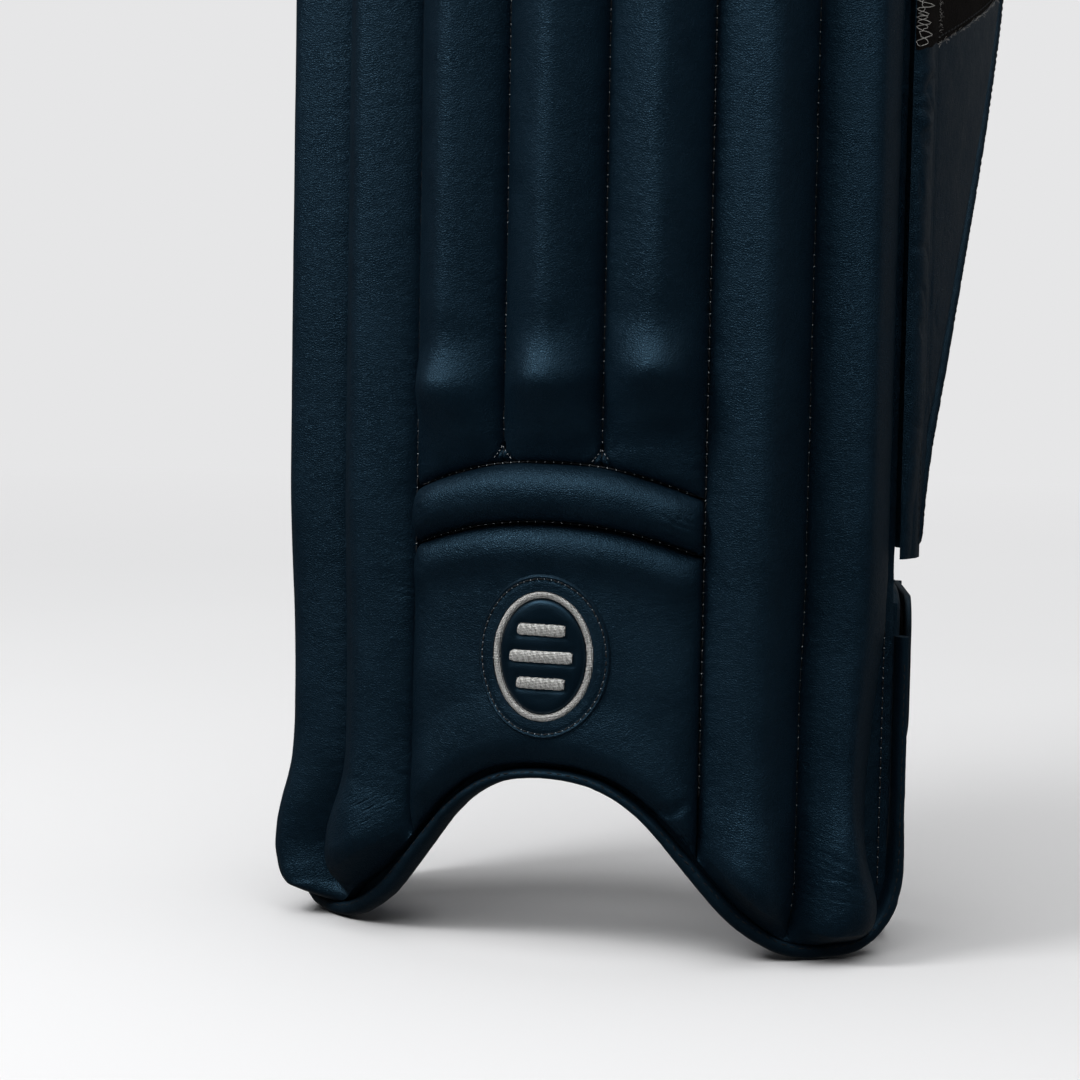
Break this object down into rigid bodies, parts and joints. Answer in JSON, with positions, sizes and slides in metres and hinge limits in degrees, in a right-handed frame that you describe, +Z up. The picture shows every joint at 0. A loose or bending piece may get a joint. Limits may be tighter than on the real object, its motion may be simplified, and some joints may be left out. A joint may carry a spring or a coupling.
{
  "type": "cricket leg pad",
  "caption": "Left-leg cricket batting pad: padded shin guard with hinged knee rolls, thigh flap, calf wing and hook-and-loop straps.",
  "frame": {"origin": "on the floor under the centre of the pad's bounding box", "axes": "+Z up the leg, -Y out of the strike face, +X towards the outer side with the calf wing"},
  "size_m": [0.2886, 0.2866, 0.8],
  "materials": {
    "leather_navy": "satin soft PU leather with a fine grain",
    "leather_blue": "satin PU leather",
    "foam_dark": "soft foam core",
    "board_grey": "stiff moulded sheet",
    "liner_blue": "woven lining",
    "mesh_black": "open diamond knit mesh",
    "binding_navy": "folded leather binding",
    "loop_charcoal": "brushed loop pile",
    "hook_black": "hook tape",
    "strap_black": "padded elastic webbing",
    "strap_leather": "stitched leather pull tab",
    "grip_rubber": "textured rubber",
    "silver_trim": "satin silver film"
  },
  "bodies": {
    "shin": {"ankle_loop_patch": "loop_charcoal", "ankle_strap_anchor": "strap_black", "centre_roll_cover": "leather_navy", "centre_roll_foam": "foam_dark", "flap_edge_binding": "binding_navy", "flap_foam": "foam_dark", "flap_mesh_lining": "mesh_black", "flap_skin": "leather_navy", "foot_rim": "binding_navy", "inner_bolster_cover": "mesh_black", "inner_bolster_foam": "foam_dark", "inner_gusset": "leather_navy", "inner_side_roll_cover": "leather_navy", "inner_side_roll_foam": "foam_dark", "instep_band_cover": "leather_navy", "instep_band_foam": "foam_dark", "instep_panel_cover": "leather_navy", "instep_panel_foam": "foam_dark", "outer_bolster_cover": "mesh_black", "outer_bolster_foam": "foam_dark", "outer_gusset": "leather_navy", "outer_side_roll_cover": "leather_navy", "outer_side_roll_foam": "foam_dark", "patch_bars": "silver_trim", "patch_pad": "leather_blue", "patch_ring": "silver_trim", "shin_board": "board_grey", "shin_liner": "liner_blue", "knee_strap_anchor": "strap_black"},
    "calf_wing": {"wing_edge_binding": "binding_navy", "wing_foam": "foam_dark", "wing_loop_panel": "loop_charcoal", "wing_mesh_lining": "mesh_black", "wing_skin": "leather_navy"},
    "knee_lower": {"knee_cup_lower_pad": "mesh_black", "knee_roll_lower_backing": "liner_blue", "knee_roll_lower_cover": "leather_navy", "knee_roll_lower_foam": "foam_dark"},
    "knee_middle": {"knee_cup_middle_pad": "mesh_black", "knee_roll_middle_backing": "liner_blue", "knee_roll_middle_cover": "leather_navy", "knee_roll_middle_foam": "foam_dark"},
    "knee_upper": {"knee_cup_upper_pad": "mesh_black", "knee_roll_upper_backing": "liner_blue", "knee_roll_upper_cover": "leather_navy", "knee_roll_upper_foam": "foam_dark"},
    "top_hat": {"top_hat_board": "board_grey", "top_hat_cover": "leather_navy", "top_hat_foam": "foam_dark", "top_hat_liner": "liner_blue", "top_hat_rim": "binding_navy"},
    "ankle_strap": {"ankle_strap_band": "strap_black", "ankle_strap_piping": "strap_black"},
    "ankle_tab": {"ankle_strap_tab": "strap_leather", "ankle_strap_hook": "hook_black"},
    "knee_strap": {"knee_strap_band": "strap_black", "knee_strap_piping": "strap_black"},
    "knee_tab": {"knee_strap_tab": "strap_leather", "knee_strap_hook": "hook_black", "knee_strap_grip_patch": "grip_rubber"}
  },
  "joints": [
    {"name": "knee_flex_1", "type": "hinge", "parent": "shin", "child": "knee_lower", "pos_m": [0, -0.10231, 0.461], "axis": [-1, 0, 0], "range_deg": [0, 15], "stiffness_Nm_per_rad": 0.5},
    {"name": "knee_flex_2", "type": "hinge", "parent": "knee_lower", "child": "knee_middle", "pos_m": [0, -0.10231, 0.507], "axis": [-1, 0, 0], "range_deg": [0, 15], "stiffness_Nm_per_rad": 0.5},
    {"name": "knee_flex_3", "type": "hinge", "parent": "knee_middle", "child": "knee_upper", "pos_m": [0, -0.10231, 0.553], "axis": [-1, 0, 0], "range_deg": [0, 15], "stiffness_Nm_per_rad": 0.5},
    {"name": "knee_flex_4", "type": "hinge", "parent": "knee_upper", "child": "top_hat", "pos_m": [0, -0.10231, 0.599], "axis": [-1, 0, 0], "range_deg": [0, 15], "stiffness_Nm_per_rad": 0.5},
    {"name": "wing_flex", "type": "hinge", "parent": "shin", "child": "calf_wing", "pos_m": [0.12313, -0.05799, 0.31], "axis": [0, 0, 1], "range_deg": [0, 7], "stiffness_Nm_per_rad": 0.6},
    {"name": "knee_strap_swing", "type": "hinge", "parent": "shin", "child": "knee_strap", "pos_m": [-0.13902, 0.08431, 0.434], "axis": [0, 0, 1], "range_deg": [0, 110]},
    {"name": "knee_tab_peel", "type": "hinge", "parent": "knee_strap", "child": "knee_tab", "pos_m": [0.13607, 0.08431, 0.434], "axis": [0, 0, 1], "range_deg": [0, 120]},
    {"name": "ankle_strap_swing", "type": "hinge", "parent": "shin", "child": "ankle_strap", "pos_m": [-0.11184, 0.005, 0.112], "axis": [0, 0, 1], "range_deg": [0, 110]},
    {"name": "ankle_tab_peel", "type": "hinge", "parent": "ankle_strap", "child": "ankle_tab", "pos_m": [0.1089, 0.005, 0.112], "axis": [0, 0, 1], "range_deg": [0, 120]}
  ],
  "couplings": [
    {"joint": "knee_flex_2", "follows": "knee_flex_1", "ratio": 1},
    {"joint": "knee_flex_3", "follows": "knee_flex_1", "ratio": 1},
    {"joint": "knee_flex_4", "follows": "knee_flex_1", "ratio": 1}
  ]
}
